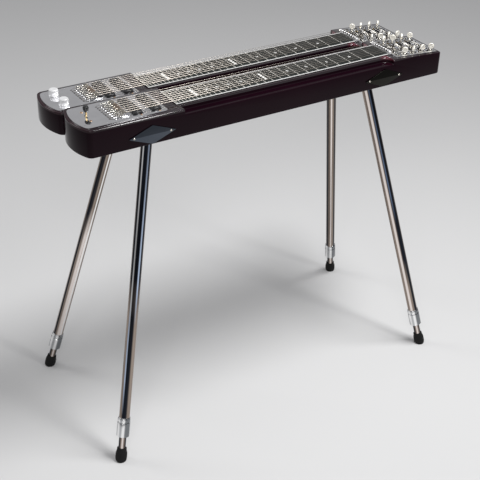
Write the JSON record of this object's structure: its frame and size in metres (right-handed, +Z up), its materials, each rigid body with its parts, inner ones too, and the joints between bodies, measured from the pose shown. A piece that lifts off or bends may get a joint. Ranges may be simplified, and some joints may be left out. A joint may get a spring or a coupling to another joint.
{
  "type": "double-neck console steel guitar",
  "caption": "Double-neck console steel guitar with stepped lacquered bodies, chrome control plates, tuner pans and telescoping splayed legs.",
  "frame": {"origin": "on the floor, midway between the four leg tips", "axes": "+X along the necks towards the tuner heads, +Y towards the player, +Z up"},
  "size_m": [0.857, 0.3968, 0.7609],
  "materials": {
    "lacquered_wood": "gloss",
    "chrome": "polished",
    "brass": "satin",
    "black_plastic": "satin",
    "board_black": "satin"
  },
  "bodies": {
    "guitar": {"front_body": "lacquered_wood", "front_fretboard": "board_black", "front_nut": "chrome", "front_control_plate": "chrome", "front_bridge_pickup": "black_plastic", "front_neck_pickup": "black_plastic", "front_bridge_and_strings": "chrome", "front_tuner_pan": "chrome", "rear_body": "lacquered_wood", "rear_fretboard": "board_black", "rear_nut": "chrome", "rear_control_plate": "chrome", "rear_bridge_pickup": "black_plastic", "rear_neck_pickup": "black_plastic", "rear_bridge_and_strings": "chrome", "rear_tuner_pan": "chrome", "output_jack": "chrome", "front_left_outer_tube": "chrome", "front_right_outer_tube": "chrome", "rear_left_outer_tube": "chrome", "rear_right_outer_tube": "chrome"},
    "volume_knob": {"volume_knob": "chrome"},
    "tone_knob": {"tone_knob": "chrome"},
    "selector_lever": {"selector_lever": "black_plastic"},
    "front_outer_key_1": {"front_outer_key_1": "chrome"},
    "front_outer_post_1": {"front_outer_post_1": "brass"},
    "front_outer_key_2": {"front_outer_key_2": "chrome"},
    "front_outer_post_2": {"front_outer_post_2": "brass"},
    "front_outer_key_3": {"front_outer_key_3": "chrome"},
    "front_outer_post_3": {"front_outer_post_3": "brass"},
    "front_outer_key_4": {"front_outer_key_4": "chrome"},
    "front_outer_post_4": {"front_outer_post_4": "brass"},
    "front_inner_key_1": {"front_inner_key_1": "chrome"},
    "front_inner_post_1": {"front_inner_post_1": "brass"},
    "front_inner_key_2": {"front_inner_key_2": "chrome"},
    "front_inner_post_2": {"front_inner_post_2": "brass"},
    "front_inner_key_3": {"front_inner_key_3": "chrome"},
    "front_inner_post_3": {"front_inner_post_3": "brass"},
    "front_inner_key_4": {"front_inner_key_4": "chrome"},
    "front_inner_post_4": {"front_inner_post_4": "brass"},
    "rear_inner_key_1": {"rear_inner_key_1": "chrome"},
    "rear_inner_post_1": {"rear_inner_post_1": "brass"},
    "rear_inner_key_2": {"rear_inner_key_2": "chrome"},
    "rear_inner_post_2": {"rear_inner_post_2": "brass"},
    "rear_inner_key_3": {"rear_inner_key_3": "chrome"},
    "rear_inner_post_3": {"rear_inner_post_3": "brass"},
    "rear_inner_key_4": {"rear_inner_key_4": "chrome"},
    "rear_inner_post_4": {"rear_inner_post_4": "brass"},
    "rear_outer_key_1": {"rear_outer_key_1": "chrome"},
    "rear_outer_post_1": {"rear_outer_post_1": "brass"},
    "rear_outer_key_2": {"rear_outer_key_2": "chrome"},
    "rear_outer_post_2": {"rear_outer_post_2": "brass"},
    "rear_outer_key_3": {"rear_outer_key_3": "chrome"},
    "rear_outer_post_3": {"rear_outer_post_3": "brass"},
    "rear_outer_key_4": {"rear_outer_key_4": "chrome"},
    "rear_outer_post_4": {"rear_outer_post_4": "brass"},
    "front_left_inner_tube": {"front_left_inner_tube": "chrome"},
    "front_right_inner_tube": {"front_right_inner_tube": "chrome"},
    "rear_left_inner_tube": {"rear_left_inner_tube": "chrome"},
    "rear_right_inner_tube": {"rear_right_inner_tube": "chrome"}
  },
  "joints": [
    {"name": "volume_knob_turn", "type": "hinge", "parent": "guitar", "child": "volume_knob", "pos_m": [-0.393, 0.033, 0.7289], "axis": [0, 0, 1], "range_deg": [-145, 145]},
    {"name": "tone_knob_turn", "type": "hinge", "parent": "guitar", "child": "tone_knob", "pos_m": [-0.393, 0.081, 0.7289], "axis": [0, 0, 1], "range_deg": [-145, 145]},
    {"name": "selector_swing", "type": "hinge", "parent": "guitar", "child": "selector_lever", "pos_m": [-0.388, -0.057, 0.7299], "axis": [1, 0, 0], "range_deg": [-18, 18]},
    {"name": "front_outer_key_1_turn", "type": "hinge", "parent": "guitar", "child": "front_outer_key_1", "pos_m": [0.33941, -0.0932, 0.73462], "axis": [0.0732, 0, 0.9973], "continuous": true},
    {"name": "front_outer_post_1_turn", "type": "hinge", "parent": "guitar", "child": "front_outer_post_1", "pos_m": [0.33076, -0.0932, 0.72473], "axis": [0, 1, 0], "continuous": true},
    {"name": "front_outer_key_2_turn", "type": "hinge", "parent": "guitar", "child": "front_outer_key_2", "pos_m": [0.36385, -0.0932, 0.73282], "axis": [0.0732, 0, 0.9973], "continuous": true},
    {"name": "front_outer_post_2_turn", "type": "hinge", "parent": "guitar", "child": "front_outer_post_2", "pos_m": [0.3552, -0.0932, 0.72293], "axis": [0, 1, 0], "continuous": true},
    {"name": "front_outer_key_3_turn", "type": "hinge", "parent": "guitar", "child": "front_outer_key_3", "pos_m": [0.38828, -0.0932, 0.73103], "axis": [0.0732, 0, 0.9973], "continuous": true},
    {"name": "front_outer_post_3_turn", "type": "hinge", "parent": "guitar", "child": "front_outer_post_3", "pos_m": [0.37963, -0.0932, 0.72114], "axis": [0, 1, 0], "continuous": true},
    {"name": "front_outer_key_4_turn", "type": "hinge", "parent": "guitar", "child": "front_outer_key_4", "pos_m": [0.41271, -0.0932, 0.72924], "axis": [0.0732, 0, 0.9973], "continuous": true},
    {"name": "front_outer_post_4_turn", "type": "hinge", "parent": "guitar", "child": "front_outer_post_4", "pos_m": [0.40407, -0.0932, 0.71934], "axis": [0, 1, 0], "continuous": true},
    {"name": "front_inner_key_1_turn", "type": "hinge", "parent": "guitar", "child": "front_inner_key_1", "pos_m": [0.33941, -0.0208, 0.73462], "axis": [0.0732, 0, 0.9973], "continuous": true},
    {"name": "front_inner_post_1_turn", "type": "hinge", "parent": "guitar", "child": "front_inner_post_1", "pos_m": [0.33076, -0.0208, 0.72473], "axis": [0, 1, 0], "continuous": true},
    {"name": "front_inner_key_2_turn", "type": "hinge", "parent": "guitar", "child": "front_inner_key_2", "pos_m": [0.36385, -0.0208, 0.73282], "axis": [0.0732, 0, 0.9973], "continuous": true},
    {"name": "front_inner_post_2_turn", "type": "hinge", "parent": "guitar", "child": "front_inner_post_2", "pos_m": [0.3552, -0.0208, 0.72293], "axis": [0, 1, 0], "continuous": true},
    {"name": "front_inner_key_3_turn", "type": "hinge", "parent": "guitar", "child": "front_inner_key_3", "pos_m": [0.38828, -0.0208, 0.73103], "axis": [0.0732, 0, 0.9973], "continuous": true},
    {"name": "front_inner_post_3_turn", "type": "hinge", "parent": "guitar", "child": "front_inner_post_3", "pos_m": [0.37963, -0.0208, 0.72114], "axis": [0, 1, 0], "continuous": true},
    {"name": "front_inner_key_4_turn", "type": "hinge", "parent": "guitar", "child": "front_inner_key_4", "pos_m": [0.41271, -0.0208, 0.72924], "axis": [0.0732, 0, 0.9973], "continuous": true},
    {"name": "front_inner_post_4_turn", "type": "hinge", "parent": "guitar", "child": "front_inner_post_4", "pos_m": [0.40407, -0.0208, 0.71934], "axis": [0, 1, 0], "continuous": true},
    {"name": "rear_inner_key_1_turn", "type": "hinge", "parent": "guitar", "child": "rear_inner_key_1", "pos_m": [0.33941, 0.0208, 0.72462], "axis": [0.0732, 0, 0.9973], "continuous": true},
    {"name": "rear_inner_post_1_turn", "type": "hinge", "parent": "guitar", "child": "rear_inner_post_1", "pos_m": [0.33076, 0.0208, 0.71473], "axis": [0, 1, 0], "continuous": true},
    {"name": "rear_inner_key_2_turn", "type": "hinge", "parent": "guitar", "child": "rear_inner_key_2", "pos_m": [0.36385, 0.0208, 0.72283], "axis": [0.0732, 0, 0.9973], "continuous": true},
    {"name": "rear_inner_post_2_turn", "type": "hinge", "parent": "guitar", "child": "rear_inner_post_2", "pos_m": [0.3552, 0.0208, 0.71293], "axis": [0, 1, 0], "continuous": true},
    {"name": "rear_inner_key_3_turn", "type": "hinge", "parent": "guitar", "child": "rear_inner_key_3", "pos_m": [0.38828, 0.0208, 0.72103], "axis": [0.0732, 0, 0.9973], "continuous": true},
    {"name": "rear_inner_post_3_turn", "type": "hinge", "parent": "guitar", "child": "rear_inner_post_3", "pos_m": [0.37963, 0.0208, 0.71114], "axis": [0, 1, 0], "continuous": true},
    {"name": "rear_inner_key_4_turn", "type": "hinge", "parent": "guitar", "child": "rear_inner_key_4", "pos_m": [0.41271, 0.0208, 0.71924], "axis": [0.0732, 0, 0.9973], "continuous": true},
    {"name": "rear_inner_post_4_turn", "type": "hinge", "parent": "guitar", "child": "rear_inner_post_4", "pos_m": [0.40407, 0.0208, 0.70934], "axis": [0, 1, 0], "continuous": true},
    {"name": "rear_outer_key_1_turn", "type": "hinge", "parent": "guitar", "child": "rear_outer_key_1", "pos_m": [0.33941, 0.0932, 0.72462], "axis": [0.0732, 0, 0.9973], "continuous": true},
    {"name": "rear_outer_post_1_turn", "type": "hinge", "parent": "guitar", "child": "rear_outer_post_1", "pos_m": [0.33076, 0.0932, 0.71473], "axis": [0, 1, 0], "continuous": true},
    {"name": "rear_outer_key_2_turn", "type": "hinge", "parent": "guitar", "child": "rear_outer_key_2", "pos_m": [0.36385, 0.0932, 0.72283], "axis": [0.0732, 0, 0.9973], "continuous": true},
    {"name": "rear_outer_post_2_turn", "type": "hinge", "parent": "guitar", "child": "rear_outer_post_2", "pos_m": [0.3552, 0.0932, 0.71293], "axis": [0, 1, 0], "continuous": true},
    {"name": "rear_outer_key_3_turn", "type": "hinge", "parent": "guitar", "child": "rear_outer_key_3", "pos_m": [0.38828, 0.0932, 0.72103], "axis": [0.0732, 0, 0.9973], "continuous": true},
    {"name": "rear_outer_post_3_turn", "type": "hinge", "parent": "guitar", "child": "rear_outer_post_3", "pos_m": [0.37963, 0.0932, 0.71114], "axis": [0, 1, 0], "continuous": true},
    {"name": "rear_outer_key_4_turn", "type": "hinge", "parent": "guitar", "child": "rear_outer_key_4", "pos_m": [0.41271, 0.0932, 0.71924], "axis": [0.0732, 0, 0.9973], "continuous": true},
    {"name": "rear_outer_post_4_turn", "type": "hinge", "parent": "guitar", "child": "rear_outer_post_4", "pos_m": [0.40407, 0.0932, 0.70934], "axis": [0, 1, 0], "continuous": true},
    {"name": "front_left_leg_slide", "type": "slide", "parent": "guitar", "child": "front_left_inner_tube", "axis": [-0.2059, -0.1797, -0.9619], "range_m": [-0.02, 0.2]},
    {"name": "front_right_leg_slide", "type": "slide", "parent": "guitar", "child": "front_right_inner_tube", "axis": [0.2059, -0.1797, -0.9619], "range_m": [-0.02, 0.2]},
    {"name": "rear_left_leg_slide", "type": "slide", "parent": "guitar", "child": "rear_left_inner_tube", "axis": [-0.2059, 0.1797, -0.9619], "range_m": [-0.02, 0.2]},
    {"name": "rear_right_leg_slide", "type": "slide", "parent": "guitar", "child": "rear_right_inner_tube", "axis": [0.2059, 0.1797, -0.9619], "range_m": [-0.02, 0.2]}
  ],
  "couplings": [
    {"joint": "front_outer_post_1_turn", "follows": "front_outer_key_1_turn", "ratio": 0.1},
    {"joint": "front_outer_post_2_turn", "follows": "front_outer_key_2_turn", "ratio": 0.1},
    {"joint": "front_outer_post_3_turn", "follows": "front_outer_key_3_turn", "ratio": 0.1},
    {"joint": "front_outer_post_4_turn", "follows": "front_outer_key_4_turn", "ratio": 0.1},
    {"joint": "front_inner_post_1_turn", "follows": "front_inner_key_1_turn", "ratio": 0.1},
    {"joint": "front_inner_post_2_turn", "follows": "front_inner_key_2_turn", "ratio": 0.1},
    {"joint": "front_inner_post_3_turn", "follows": "front_inner_key_3_turn", "ratio": 0.1},
    {"joint": "front_inner_post_4_turn", "follows": "front_inner_key_4_turn", "ratio": 0.1},
    {"joint": "rear_inner_post_1_turn", "follows": "rear_inner_key_1_turn", "ratio": 0.1},
    {"joint": "rear_inner_post_2_turn", "follows": "rear_inner_key_2_turn", "ratio": 0.1},
    {"joint": "rear_inner_post_3_turn", "follows": "rear_inner_key_3_turn", "ratio": 0.1},
    {"joint": "rear_inner_post_4_turn", "follows": "rear_inner_key_4_turn", "ratio": 0.1},
    {"joint": "rear_outer_post_1_turn", "follows": "rear_outer_key_1_turn", "ratio": 0.1},
    {"joint": "rear_outer_post_2_turn", "follows": "rear_outer_key_2_turn", "ratio": 0.1},
    {"joint": "rear_outer_post_3_turn", "follows": "rear_outer_key_3_turn", "ratio": 0.1},
    {"joint": "rear_outer_post_4_turn", "follows": "rear_outer_key_4_turn", "ratio": 0.1}
  ]
}
